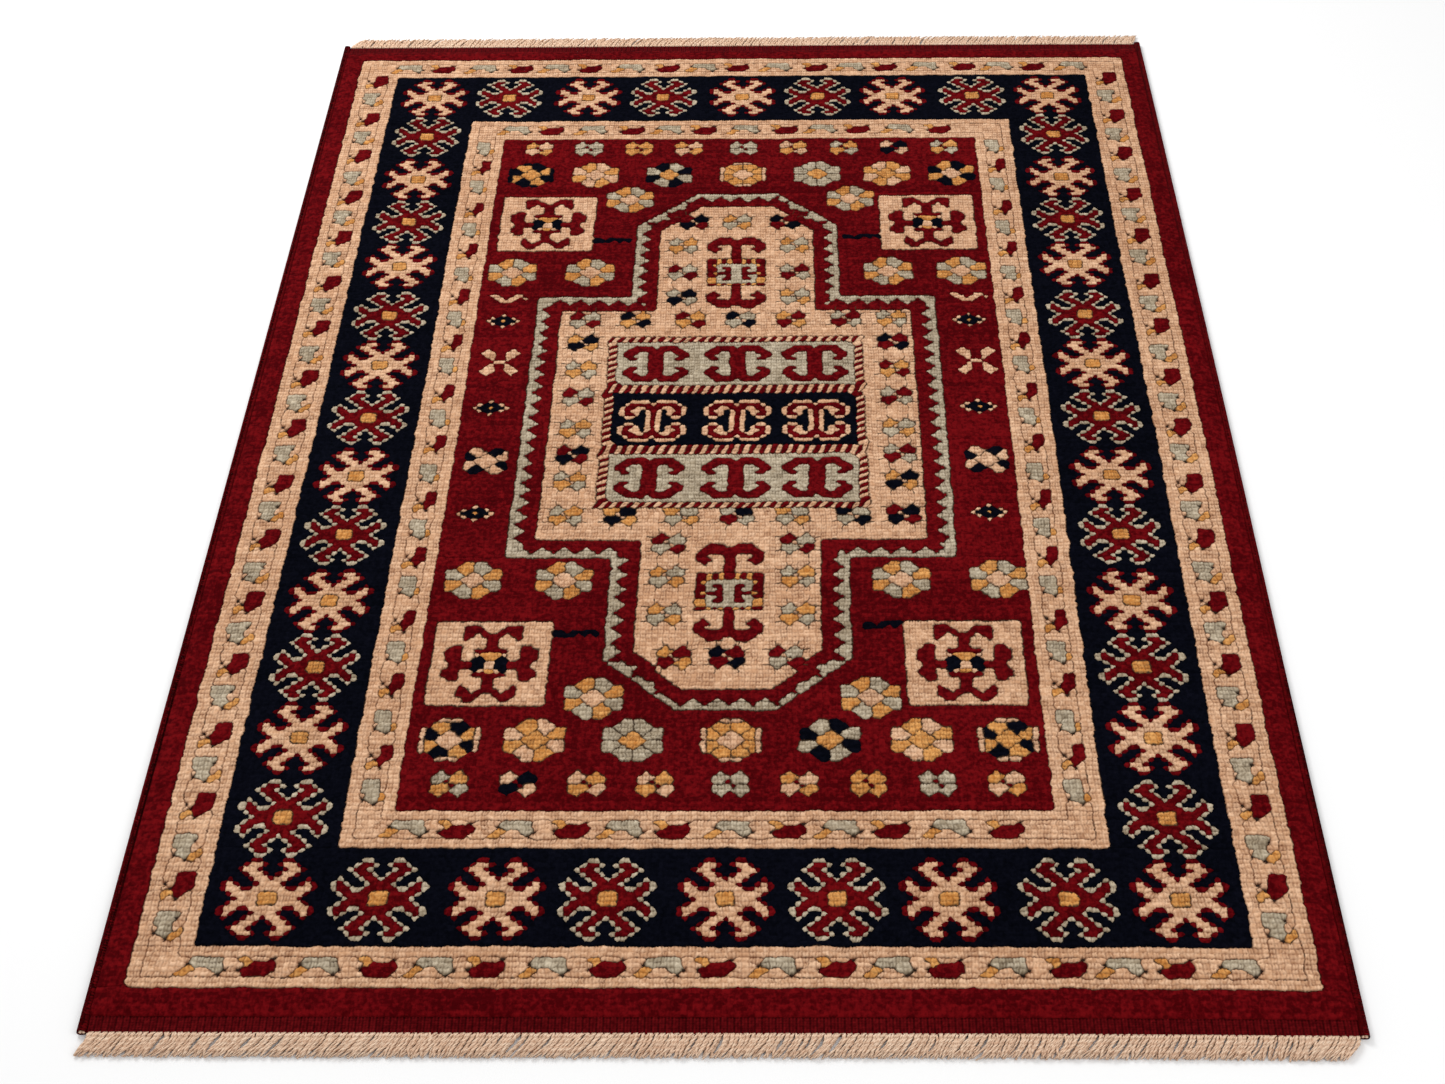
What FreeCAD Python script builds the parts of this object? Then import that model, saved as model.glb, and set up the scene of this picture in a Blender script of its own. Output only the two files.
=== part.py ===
"""A hand-knotted wool rug, laid flat, in millimetres.

X runs across the rug, Y along it and Z up. The origin is on the floor under the rug's middle.
The rug is laid out as it is knotted: across in knots and along in rows. One woven ground carries
all of it. The pile stands on the ground as one block for each area of the design, and the blocks
meet face to face. At each end the ground runs out into a flat-woven band and the cut warp ends,
and along each side it is bound by a selvedge, which is a wrapping of wool round two cords.
"""

import FreeCAD, Part
import os

SIZES = [
    ("knot_wide", 6.54, "width of one knot, across the rug"),
    ("knot_long", 6.05, "length of one row of knots, along the rug"),
    ("knots_across", 184, "knots in one row"),
    ("rows_along", 288, "rows of knots"),
    ("ground_thick", 3.0, "thickness of the woven ground"),
    ("pile_tall", 7.5, "height of the pile above the ground"),
    ("kilim_long", 17.8, "length of the flat-woven band at each end"),
    ("kilim_thick", 4.0, "thickness of the flat-woven band"),
    ("fringe_long", 26.0, "length of the cut warp ends"),
    ("fringe_thick", 2.5, "thickness of a bundle of warp ends"),
    ("bundle_wide", 5.5, "width of a bundle of warp ends, one to each knot"),
    ("selvedge_wide", 9.0, "width of the overcast selvedge"),
    ("selvedge_tall", 7.0, "height of the overcast selvedge"),
    ("cord_radius", 1.5, "radius of each cord inside the selvedge"),
    ("cord_inset", 2.2, "first cord's middle, from the selvedge's inner face"),
    ("cord_apart", 3.4, "distance between the middles of the two cords"),
    ("cord_room", 0.1, "clearance of a cord in its wrapping"),
    ("margin_knots", 4, "plain red margin at a side"),
    ("margin_rows", 5, "plain red margin at an end"),
    ("outer_knots", 9, "outer guard border at a side"),
    ("outer_rows", 8, "outer guard border at an end"),
    ("star_knots", 19, "main border at a side"),
    ("star_rows", 20, "main border at an end"),
    ("inner_knots", 8, "inner guard border at a side"),
    ("inner_rows", 8, "inner guard border at an end"),
    ("strip_knots", 12, "red field beside the medallion's body"),
    ("end_rows", 23, "red field beyond the medallion's tip"),
    ("body_rows", 82, "length of the medallion's wide body"),
    ("head_knots", 42, "width of the medallion's head"),
    ("tip_knots", 18, "width of the medallion's flat tip"),
    ("shoulder_rows", 12, "length of the slope from the head to the tip"),
    ("outline_step", 2, "width of the medallion's outline, in knots and in rows"),
    ("lining_step", 3, "width of the red lining inside the outline, in knots and in rows"),
    ("tip_draw", 0.2, "share of a step by which the tip's half width shrinks"),
    ("slope_draw", 0.6, "share of a step by which the slope's start moves in"),
    ("flower_knots", 10, "ground beside the centre panel"),
    ("flower_rows", 9, "ground beyond the centre panel"),
    ("frame_knots", 2, "candy stripe at a side of the panel"),
    ("frame_rows", 2, "candy stripe at an end of the panel"),
    ("stripe_rows", 3, "candy stripe between two bands of the panel"),
    ("middle_rows", 16, "the panel's middle band"),
    ("square_knots", 20, "width of a corner square"),
    ("square_rows", 21, "length of a corner square"),
    ("square_inset", 2, "knots between a corner square and the inner guard"),
    ("square_shift", 3.5, "rows from the middle of the field's corner to the square's middle"),
    ("shield_knots", 12, "width of the small shield in the medallion's head"),
    ("shield_rows", 10, "length of the small shield in the medallion's head"),
    ("shield_gap", 9, "rows from the ground's body to the small shield"),
]

doc = FreeCAD.newDocument("rug")
sheet = doc.addObject("Spreadsheet::Sheet", "Sizes")
for number, (alias, value, meaning) in enumerate(SIZES, start=1):
    sheet.set(f"A{number}", alias)
    sheet.set(f"B{number}", str(value))
    sheet.set(f"C{number}", meaning)
    sheet.setAlias(f"B{number}", alias)
doc.recompute()

nodes = []


def size(alias):
    """The expression that reads one size from the sheet."""
    return f"Sizes.{alias}"


def across(*aliases):
    """The expression of a width in millimetres: the sum of some counts of knots."""
    counts = " + ".join(size(alias) for alias in aliases) or "0"
    return f"(({counts}) * {size('knot_wide')})"


def along(*aliases):
    """The expression of a length in millimetres: the sum of some counts of rows."""
    counts = " + ".join(size(alias) for alias in aliases) or "0"
    return f"(({counts}) * {size('knot_long')})"


FLOOR = "0"
MIDDLE = "0"
ON_GROUND = size("ground_thick")
PILE_TALL = size("pile_tall")
HALF_WIDE = f"({across('knots_across')} / 2)"
HALF_LONG = f"({along('rows_along')} / 2)"
WOVEN_LONG = f"({along('rows_along')} + 2 * {size('kilim_long')})"
BORDER_KNOTS = ("margin_knots", "outer_knots", "star_knots", "inner_knots")
BORDER_ROWS = ("margin_rows", "outer_rows", "star_rows", "inner_rows")
FIELD_HALF_WIDE = f"({HALF_WIDE} - {across(*BORDER_KNOTS)})"
FIELD_HALF_LONG = f"({HALF_LONG} - {along(*BORDER_ROWS)})"
BODY_HALF_WIDE = f"({FIELD_HALF_WIDE} - {across('strip_knots')})"
BODY_HALF_LONG = f"({along('body_rows')} / 2)"
TIP_END = f"({FIELD_HALF_LONG} - {along('end_rows')})"


def bind(thing, **expressions):
    """Binds an object's sizes to expressions of the sheet."""
    for name, expression in expressions.items():
        thing.setExpression(name, expression)


def place(thing, x, y, z):
    """Binds an object's place to expressions of the sheet."""
    for letter, expression in zip("xyz", (x, y, z)):
        thing.setExpression(f".Placement.Base.{letter}", expression)


def name_node(thing, label):
    """Names an object as one of the rug's sub-parts."""
    thing.Label = label
    nodes.append(thing)


def block(wide, long, tall, x, y, z):
    """A box, from its sizes and its lowest corner."""
    box = doc.addObject("Part::Box", "Block")
    bind(box, Length=wide, Width=long, Height=tall)
    place(box, x, y, z)
    return box


def pile_block(wide, long, x, y):
    """A block of pile on the ground, from its lowest corner."""
    return block(wide, long, PILE_TALL, x, y, ON_GROUND)


def pile_about(wide, long, x, y):
    """A block of pile on the ground, from its middle."""
    return pile_block(wide, long, f"{x} - {wide} / 2", f"{y} - {long} / 2")


def together(things):
    """Several solids in one group, each still a solid of its own."""
    group = doc.addObject("Part::Compound", "Group")
    group.Links = things
    return group


def fused(things):
    """Several solids made one."""
    whole = doc.addObject("Part::MultiFuse", "Whole")
    whole.Shapes = things
    whole.Refine = True
    return whole


def cut(base, tool):
    """A solid with another one taken out of it."""
    rest = doc.addObject("Part::Cut", "Rest")
    rest.Base = base
    rest.Tool = tool
    return rest


# The woven ground, and the two flat-woven bands that run on from its ends.
def make_ground():
    wide = across("knots_across")
    left = f"-1 * {HALF_WIDE}"
    near = f"-1 * {HALF_LONG}"
    ground = block(wide, along("rows_along"), ON_GROUND, left, near, FLOOR)
    name_node(ground, "woven_ground")
    starts = {"near": f"{near} - {size('kilim_long')}", "far": HALF_LONG}
    for end, start in starts.items():
        band = block(wide, size("kilim_long"), size("kilim_thick"), left, start, FLOOR)
        name_node(band, f"kilim_end_{end}")


# The cut warp ends: one bundle to each knot, on the floor against the flat-woven band.
def make_fringes():
    count = int(round(sheet.get("knots_across")))
    pitch = float(sheet.get("knot_wide"))
    wide = float(sheet.get("bundle_wide"))
    long = float(sheet.get("fringe_long"))
    thick = float(sheet.get("fringe_thick"))
    pile_half = float(sheet.get("rows_along")) * float(sheet.get("knot_long")) / 2
    band_end = pile_half + float(sheet.get("kilim_long"))
    for end, start in {"near": -band_end - long, "far": band_end}.items():
        bundles = []
        for number in range(count):
            left = (number + 0.5 - count / 2) * pitch - wide / 2
            corner = FreeCAD.Vector(left, start, 0)
            bundles.append(Part.makeBox(wide, long, thick, corner))
        fringe = doc.addObject("Part::Feature", "Fringe")
        fringe.Shape = Part.makeCompound(bundles)
        name_node(fringe, f"warp_fringe_{end}")


# A rod that runs the whole length of the woven rug, from its radius and its middle line.
def rod(radius, x, z):
    bar = doc.addObject("Part::Cylinder", "Rod")
    bind(bar, Radius=radius, Height=WOVEN_LONG)
    turned = FreeCAD.Rotation(FreeCAD.Vector(1, 0, 0), -90)
    bar.Placement = FreeCAD.Placement(FreeCAD.Vector(), turned)
    place(bar, x, f"-1 * {WOVEN_LONG} / 2", z)
    return bar


# A selvedge: a wrapping with a round outer edge, and the two cords that lie in it.
def make_selvedge(name, side):
    height = size("selvedge_tall")
    middle = f"({height} / 2)"
    flat = f"({size('selvedge_wide')} - {middle})"
    inner_middle = f"{side} * ({HALF_WIDE} + {flat} / 2)"
    start = f"-1 * {WOVEN_LONG} / 2"
    inner = block(flat, WOVEN_LONG, height, f"{inner_middle} - {flat} / 2", start, FLOOR)
    outer = rod(middle, f"{side} * ({HALF_WIDE} + {flat})", middle)
    first = size("cord_inset")
    second = f"({first} + {size('cord_apart')})"
    lines = [f"{side} * ({HALF_WIDE} + {inset})" for inset in (first, second)]
    bore = f"{size('cord_radius')} + {size('cord_room')}"
    bores = together([rod(bore, line, middle) for line in lines])
    name_node(cut(fused([inner, outer]), bores), f"selvedge_wrap_{name}")
    cords = together([rod(size("cord_radius"), line, middle) for line in lines])
    name_node(cords, f"selvedge_cords_{name}")


# A border round the rug, as four straight pieces. The two end pieces take the corners.
def make_border(name, number):
    outer_knots = BORDER_KNOTS[:number]
    outer_rows = BORDER_ROWS[:number]
    own_knots = across(BORDER_KNOTS[number])
    own_rows = along(BORDER_ROWS[number])
    left = f"-1 * {HALF_WIDE} + {across(*outer_knots)}"
    right = f"{HALF_WIDE} - {across(*outer_knots)} - {own_knots}"
    near = f"-1 * {HALF_LONG} + {along(*outer_rows)}"
    far = f"{HALF_LONG} - {along(*outer_rows)} - {own_rows}"
    wide = f"({across('knots_across')} - 2 * {across(*outer_knots)})"
    long = f"({along('rows_along')} - 2 * {along(*outer_rows)} - 2 * {own_rows})"
    name_node(pile_block(wide, own_rows, left, near), f"{name}_near")
    name_node(pile_block(wide, own_rows, left, far), f"{name}_far")
    name_node(pile_block(own_knots, long, left, f"{near} + {own_rows}"), f"{name}_left")
    name_node(pile_block(own_knots, long, right, f"{near} + {own_rows}"), f"{name}_right")


# The sloping end of the medallion: a wedge as wide as the head, which narrows to the tip.
def medallion_tip(head, tip, slope, top, turn):
    wedge = doc.addObject("Part::Wedge", "Tip")
    bind(wedge, Ymin="0", Ymax=f"{top} - {slope}")
    bind(wedge, Zmin="0", Zmax=PILE_TALL, Z2min="0", Z2max=PILE_TALL)
    bind(wedge, Xmin=f"-1 * {head}", Xmax=head, X2min=f"-1 * {tip}", X2max=tip)
    wedge.Placement = FreeCAD.Placement(FreeCAD.Vector(), FreeCAD.Rotation(turn, 0, 0))
    side = "-1" if turn else "1"
    place(wedge, MIDDLE, f"{side} * {slope}", ON_GROUND)
    return wedge


# The medallion's whole shape, made smaller all round by some steps, each a knot and a row.
def medallion(*steps):
    step_x = across(*steps)
    step_y = along(*steps)
    head = f"({across('head_knots')} / 2 - {step_x})"
    tip = f"({across('tip_knots')} / 2 - {size('tip_draw')} * {step_x})"
    top = f"({TIP_END} - {step_y})"
    slope = f"({TIP_END} - {along('shoulder_rows')} - {size('slope_draw')} * {step_y})"
    body_wide = f"(2 * ({BODY_HALF_WIDE} - {step_x}))"
    body_long = f"(2 * ({BODY_HALF_LONG} - {step_y}))"
    body = pile_about(body_wide, body_long, MIDDLE, MIDDLE)
    neck = pile_about(f"(2 * {head})", f"(2 * {slope})", MIDDLE, MIDDLE)
    tips = [medallion_tip(head, tip, slope, top, turn) for turn in (0, 180)]
    return fused([body, neck, *tips])


# The centre panel: three bands one above the other, in a frame of candy stripes.
def make_panel():
    inside = ("outline_step", "lining_step")
    wide = f"(2 * ({BODY_HALF_WIDE} - {across(*inside, 'flower_knots')}))"
    long = f"(2 * ({BODY_HALF_LONG} - {along(*inside, 'flower_rows')}))"
    panel = pile_about(wide, long, MIDDLE, MIDDLE)
    band_wide = f"({wide} - 2 * {across('frame_knots')})"
    middle = along("middle_rows")
    stripes = f"(2 * {along('frame_rows', 'stripe_rows')})"
    outer = f"(({long} - {middle} - {stripes}) / 2)"
    distance = f"({middle} / 2 + {along('stripe_rows')} + {outer} / 2)"
    bands = {
        "near": pile_about(band_wide, outer, MIDDLE, f"-1 * {distance}"),
        "middle": pile_about(band_wide, middle, MIDDLE, MIDDLE),
        "far": pile_about(band_wide, outer, MIDDLE, distance),
    }
    for name, band in bands.items():
        name_node(band, f"panel_band_{name}")
    name_node(cut(panel, together(list(bands.values()))), "panel_stripes")
    return panel


# The two small shields, one in each head of the medallion.
def make_shields():
    inside = along("outline_step", "lining_step")
    reach = f"({BODY_HALF_LONG} - {inside} + {along('shield_gap')} + {along('shield_rows')} / 2)"
    wide = across("shield_knots")
    long = along("shield_rows")
    shields = together([pile_about(wide, long, MIDDLE, f"{side} * {reach}") for side in (-1, 1)])
    name_node(shields, "head_shields")
    return shields


# The medallion, from the outside in, with the panel and the shields let into its ground.
def make_medallion():
    whole = medallion()
    inside_outline = medallion("outline_step")
    inside_lining = medallion("outline_step", "lining_step")
    name_node(cut(whole, inside_outline), "medallion_outline")
    name_node(cut(inside_outline, inside_lining), "medallion_lining")
    panel = make_panel()
    shields = make_shields()
    name_node(cut(inside_lining, together([panel, shields])), "medallion_ground")
    return whole


# The four squares in the corners of the field.
def make_corner_squares():
    wide = across("square_knots")
    long = along("square_rows")
    x = f"({FIELD_HALF_WIDE} - {across('square_inset')} - {wide} / 2)"
    y = f"(({BODY_HALF_LONG} + {FIELD_HALF_LONG}) / 2 - {along('square_shift')})"
    corners = [(-1, -1), (1, -1), (-1, 1), (1, 1)]
    squares = [pile_about(wide, long, f"{right} * {x}", f"{far} * {y}") for right, far in corners]
    group = together(squares)
    name_node(group, "corner_squares")
    return group


# The red field round the medallion: a part beyond each end of its body and one at each side.
def make_field():
    whole = make_medallion()
    inlay = together([whole, make_corner_squares()])
    wide = f"(2 * {FIELD_HALF_WIDE})"
    end_long = f"({FIELD_HALF_LONG} - {BODY_HALF_LONG})"
    left = f"-1 * {FIELD_HALF_WIDE}"
    near = f"-1 * {FIELD_HALF_LONG}"
    body_near = f"-1 * {BODY_HALF_LONG}"
    name_node(cut(pile_block(wide, end_long, left, near), inlay), "field_near")
    name_node(cut(pile_block(wide, end_long, left, BODY_HALF_LONG), inlay), "field_far")
    strip = across("strip_knots")
    body_long = along("body_rows")
    name_node(pile_block(strip, body_long, left, body_near), "field_left")
    name_node(pile_block(strip, body_long, BODY_HALF_WIDE, body_near), "field_right")


make_ground()
make_fringes()
make_selvedge("left", -1)
make_selvedge("right", 1)
for order, border in enumerate(("margin", "outer_guard", "star_border", "inner_guard")):
    make_border(border, order)
make_field()

doc.recompute()
for thing in doc.Objects:
    faults = {"Invalid", "Error"} & set(thing.State)
    if faults:
        raise RuntimeError(f"{thing.Name} ({thing.Label}) is {sorted(faults)}")
for thing in nodes:
    shape = thing.Shape
    if shape.isNull() or not shape.isValid() or not shape.Solids:
        raise RuntimeError(f"{thing.Label} has no valid solid")

os.makedirs("parts", exist_ok=True)
for thing in nodes:
    thing.Shape.exportStep(f"parts/{thing.Label}.step")
    box = thing.Shape.BoundBox
    print(
        f"{thing.Label:22s} {len(thing.Shape.Solids):4d} solids"
        f"  X {box.XMin:8.2f} {box.XMax:8.2f}  Y {box.YMin:8.2f} {box.YMax:8.2f}"
        f"  Z {box.ZMin:6.2f} {box.ZMax:6.2f}  {thing.Shape.Volume / 1000:9.1f} cm3"
    )
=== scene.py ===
import math

import bpy
import numpy as np
from mathutils import Matrix, Vector


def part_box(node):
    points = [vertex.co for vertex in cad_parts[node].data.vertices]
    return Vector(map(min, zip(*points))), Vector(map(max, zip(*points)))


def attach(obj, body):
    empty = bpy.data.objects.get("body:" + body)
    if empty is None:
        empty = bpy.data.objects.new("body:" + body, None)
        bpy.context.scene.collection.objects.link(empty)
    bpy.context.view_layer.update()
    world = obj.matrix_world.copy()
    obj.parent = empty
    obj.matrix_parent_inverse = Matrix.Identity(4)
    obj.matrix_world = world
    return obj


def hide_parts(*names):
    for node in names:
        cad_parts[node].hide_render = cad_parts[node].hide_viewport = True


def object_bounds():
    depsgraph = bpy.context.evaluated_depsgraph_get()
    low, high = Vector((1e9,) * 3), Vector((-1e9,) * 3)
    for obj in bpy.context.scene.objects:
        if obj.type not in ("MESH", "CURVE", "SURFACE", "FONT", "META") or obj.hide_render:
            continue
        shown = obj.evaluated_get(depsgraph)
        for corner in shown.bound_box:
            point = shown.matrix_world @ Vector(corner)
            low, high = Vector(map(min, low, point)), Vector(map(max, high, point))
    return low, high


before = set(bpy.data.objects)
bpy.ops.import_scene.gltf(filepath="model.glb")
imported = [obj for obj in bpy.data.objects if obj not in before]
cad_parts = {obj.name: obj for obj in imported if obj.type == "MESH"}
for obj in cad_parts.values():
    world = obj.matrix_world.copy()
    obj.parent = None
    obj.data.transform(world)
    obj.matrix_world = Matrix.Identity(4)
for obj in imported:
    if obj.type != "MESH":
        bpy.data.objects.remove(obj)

cad_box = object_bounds()
chance = np.random.default_rng(1887)

# ---------------------------------------------------------------- the weave
# Every knot of the rug has a place on one chart: columns run from the left
# selvedge, rows run from the near end.
KNOTS, ROWS = 184, 288
ground_low, ground_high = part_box("woven_ground")
KNOT_WIDE = (ground_high[0] - ground_low[0]) / KNOTS
KNOT_LONG = (ground_high[1] - ground_low[1]) / ROWS
GROUND_TOP = ground_high[2]
PILE_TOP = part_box("field_near")[1][2]
MIDDLE_COL, MIDDLE_ROW = KNOTS // 2, ROWS // 2

DYES = ["madder", "navy", "ivory", "sage", "gold", "brown"]
LETTERS = "RNISGB"
MADDER, NAVY, IVORY, SAGE, GOLD, BROWN = range(6)

chart = np.full((ROWS, KNOTS), MADDER)
motif = np.zeros((ROWS, KNOTS), int)
outlined = np.zeros((ROWS, KNOTS))
motif_count = [0]


def fill(col, row, wide, long, letter, outline=0.0):
    motif_count[0] += 8
    spot = (slice(row, row + long), slice(col, col + wide))
    chart[spot] = LETTERS.index(letter)
    motif[spot] = motif_count[0]
    outlined[spot] = outline


def knot_in(lines, col, row, outline=1.0, dyes=None, bold=""):
    """Knots a motif drawn as lines of letters, far row first, with its near left knot at (col, row)."""
    motif_count[0] += 64
    dyes = dyes or {}
    for up, line in enumerate(reversed(lines)):
        for over, mark in enumerate(line):
            if mark == ".":
                continue
            r, c = row + up, col + over
            if 0 <= r < ROWS and 0 <= c < KNOTS:
                chart[r, c] = LETTERS.index(dyes.get(mark, mark).upper())
                motif[r, c] = motif_count[0] + ord(mark) % 64
                outlined[r, c] = 1.0 if mark in bold else outline


def both_sides(lines, shared=False):
    return [line[: 0 if shared else None : -1] + line for line in lines]


def both_ways(lines, shared=False):
    return lines + (lines[-2::-1] if shared else lines[::-1])


# ---------------------------------------------------------------- the borders
STAR = both_ways(both_sides([
    "..OO....",
    ".OCCO...",
    "..OCCO..",
    ".OCCO...",
    "OCCO..O.",
    "CCO..OCO",
    "CCCOOCCO",
    "HHCCCCO.",
    "HHCCCO..",
], shared=True), shared=True)

END_LEAVES = (
    ["..SSSSS.", ".bSSSSS.", ".GG..SSb", "GG....b."],
    [".GG...b.", "..GRRRR.", ".bRRRRR.", "..RRRR.."],
)
SIDE_LEAVES = (
    [".....", "SSSS.", "SSSb.", "SSS..", ".SS.G", "bSSGG", "..bG.", "....."],
    [".....", "..RRR", "..RRR", "b.RRR", ".bRRR", "GGRR.", "G.b..", "....."],
)


def guard(first_col, first_row, end_step, side_step, side_wide, end_long):
    """A leaf border all round, with two ivory lines each side of its leaves."""
    last_col, last_row = KNOTS - first_col, ROWS - first_row
    fill(first_col, first_row, last_col - first_col, last_row - first_row, "I", 0.7)
    inner_col, inner_row = first_col + 2, first_row + 2
    fill(inner_col, inner_row, last_col - first_col - 4, last_row - first_row - 4, "I", 0.5)
    leaf_wide, leaf_long = side_wide - 4, end_long - 4
    in_col, in_row = first_col + side_wide, first_row + end_long
    ends = [inner_row, last_row - end_long + 2]
    count = int((last_col - first_col - 2 * side_wide + 6) / end_step)
    for start_row in ends:
        for k in range(count):
            at = in_col - 2 + round(end_step * k)
            if at + 8 <= last_col - side_wide + 3:
                knot_in(END_LEAVES[k % 2][:leaf_long], at, start_row, 0.8)
    count = int((last_row - first_row - 2 * end_long + 2) / side_step)
    for start_col in (inner_col, last_col - side_wide + 2):
        for k in range(count):
            at = in_row + round(side_step * k)
            leaves = SIDE_LEAVES[k % 2]
            if leaf_wide < 5:
                leaves = [line[:3] + line[-1] for line in leaves]
            knot_in(leaves, start_col, at, 0.8)
    fill(in_col - 2, in_row - 2, KNOTS - 2 * in_col + 4, ROWS - 2 * in_row + 4, "I", 0.5)


guard(4, 5, 8.5, 8.25, 9, 8)
fill(13, 13, KNOTS - 26, ROWS - 26, "N", 0.3)


def star(col, row, number):
    if number % 2:
        knot_in(STAR, col - 7, row - 8, 0.25, {"C": "R", "O": "S", "H": "G"}, "H")
    else:
        knot_in(STAR, col - 7, row - 8, 0.25, {"C": "I", "O": "R", "H": "G"}, "H")


for k in range(9):
    for row in (22, ROWS - 23):
        star(round(22 + 17.375 * k), row, k)
for k in range(1, 14):
    for col in (22, KNOTS - 23):
        star(col, round(22 + 17.36 * k), k)

guard(32, 33, 8.5, 8.25, 8, 8)
fill(40, 41, KNOTS - 80, ROWS - 82, "R", 0.2)

# ---------------------------------------------------------------- the medallion
row_mid = np.abs(np.arange(ROWS) + 0.5 - MIDDLE_ROW)[:, None]
col_mid = np.abs(np.arange(KNOTS) + 0.5 - MIDDLE_COL)[None, :]


def medallion(inset):
    """Which knots are in the medallion's shape, made smaller all round by some knots."""
    body = (col_mid < 40 - inset) & (row_mid < 41 - inset)
    slope, top = 68 - 0.6 * inset, 80 - inset
    head, tip = 21 - inset, 9 - 0.2 * inset
    reach = head + (tip - head) * np.clip((row_mid - slope) / (top - slope), 0, 1)
    return body | ((col_mid < reach) & (row_mid < top))


in_outline, in_lining, in_ground = medallion(0), medallion(2), medallion(5)
for inside, dye, line in ((in_outline, SAGE, 1.0), (in_lining, MADDER, 0.7), (in_ground, IVORY, 1.0)):
    motif_count[0] += 8
    chart[inside], motif[inside], outlined[inside] = dye, motif_count[0], line

# Teeth of the sage line: a solid outer knot, three knots in four, and a tip.
layer_2, layer_3 = medallion(1) & ~in_lining, in_lining & ~medallion(3)
level_edge = ((row_mid > 38) & (row_mid < 41) & (col_mid > 19)) | (row_mid > 77)
step = np.where(level_edge, np.arange(KNOTS)[None, :], np.arange(ROWS)[:, None]) % 4
chart[layer_2 & (step == 0)] = MADDER
teeth = layer_3 & (step == 2)
chart[teeth] = SAGE
motif[teeth] = motif[144, 52]

# ---------------------------------------------------------------- the flowers
ROSETTE = ["PP...", "PPP..", "PPPqq", "GPqqq", "GGqqq"]
DAISY = [".PP.", "PPPq", "GPqq", "GGqq"]
BLOSSOM = [".Q.", "QQQ", "GQQ"]
petal_ticks = []


def round_flower(quarter, col, row, first, second, heart, tips=None):
    """A flower with eight petals in two dyes, in turn, with its near left knot at (col, row)."""
    half = len(quarter)
    lines, names = [], {"G": heart}
    turns = {
        ("P", 1, 1): ("A", first), ("q", 1, 1): ("C", second),
        ("q", 1, 0): ("D", first), ("P", 1, 0): ("E", second),
        ("P", 0, 0): ("F", first), ("q", 0, 0): ("H", second),
        ("q", 0, 1): ("J", first), ("P", 0, 1): ("K", second),
    }
    for far in (1, 0):
        rows = quarter if far else quarter[::-1]
        for line in rows:
            marks = ["", ""]
            for right in (0, 1):
                marks[right] = "".join(turns[(m, right, far)][0] if m in "Pq" else m for m in line)
            lines.append(marks[0][::-1] + marks[1])
    names.update({mark: dye for mark, dye in turns.values()})
    if tips:
        ends = (0, 2 * half - 1)
        for n, line in enumerate(lines):
            lines[n] = "".join(m.lower() if n in ends or at in ends else m for at, m in enumerate(line))
        names.update({mark.lower(): tips for mark in "ACDEFHJK"})
    knot_in(lines, col, row, 1.0, names)


def small_flower(col, row, dyes, heart="I", wisps=False):
    """A flower with four petals, given as far left, far right, near left, near right."""
    if wisps:
        petal_ticks.append((col + 3, row + 3))
    left, right, near_left, near_right = "ACDE"
    lines = [line[::-1].replace("Q", left) + line.replace("Q", right) for line in BLOSSOM]
    lines += [line[::-1].replace("Q", near_left) + line.replace("Q", near_right) for line in BLOSSOM[::-1]]
    lines[2] = lines[2].replace("GG", "G" + right)
    lines[3] = lines[3].replace("GG", near_left + "G")
    names = {left: dyes[0], right: dyes[1], near_left: dyes[2], near_right: dyes[3], "G": heart}
    knot_in(lines, col, row, 1.0, names)


for at, near, far in (
    (42, "NGII", "NGGN"), (56, "IGG.", "IGI."), (72, "SSG.", "SNG."), (88, "GGII", "GGII"),
    (104, "NSG.", "SSG."), (119, "IGG.", "GIG."), (133, "NGGI", "NGI."),
):
    for row, look in ((52, near), (227, far)):
        tips = None if look[3] == "." else look[3]
        round_flower(ROSETTE, at, row, look[0], look[1], look[2], tips)
for row, cols in (
    (217, (64, 111)), (62, (65, 111)), (189, (41, 57, 118, 133)), (92, (42, 58, 117, 134)),
):
    for col in cols:
        round_flower(ROSETTE, col, row, "S", "G", "I")

# A line of small flowers in the field at each end.
for k, (near, far) in enumerate((
    ("SGGS", "GIIG"), ("INNI", "SSSS"), ("IGGI", "GGGG"), ("IGGI", "GIIG"), ("SSSS", "SSSS"),
    ("GIIG", "IGGI"), ("GGGG", "SGGS"), ("SSSS", "INNI"), ("GIIG", "SGGS"),
)):
    small_flower(round(45 + 11.125 * k), 44, near, "R")
    small_flower(round(45 + 11.125 * k), 240, far, "R")

# Small flowers all round the medallion's body, then in its heads.
for col, far, near in (
    (59, "RSSR", "SGGS"), (69, "NGGN", "GNNG"), (80, "RGGR", "GSSG"), (90, "NSSN", "SNRS"),
    (100, "GRRG", "GSSG"), (111, "SRRS", "NSSN"), (120, "SGGS", "RNNR"),
):
    small_flower(col, 174, far, "I", True)
    small_flower(col, 112, near, "I", True)
for row, left, right in (
    (166, "GNNG", "NRRN"), (157, "SGGS", "RGGR"), (148, "RSSR", "SRRS"),
    (138, "SGGS", "GSSG"), (130, "RNNR", "SRRS"), (122, "SGGS", "GNNG"),
):
    small_flower(59, row, left, "I", True)
    small_flower(120, row, right, "I", True)
for row, left, right in (
    (201, "SGGS", "GSSG"), (191, "RSSR", "SRRS"), (182, "SNNS", "GSSG"),
    (104, "RSSR", "RSSR"), (95, "GSSG", "SGGS"), (85, "GSSG", "SGGS"),
):
    small_flower(78, row, left, "I", True)
    small_flower(101, row, right, "I", True)
for row, looks in ((210, ("RNNR", "GSSG", "NRRN")), (74, ("GRRG", "NRRN", "RSSR"))):
    for col, look in zip((80, 89, 99), looks):
        small_flower(col, row, look, "I", True)

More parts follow.
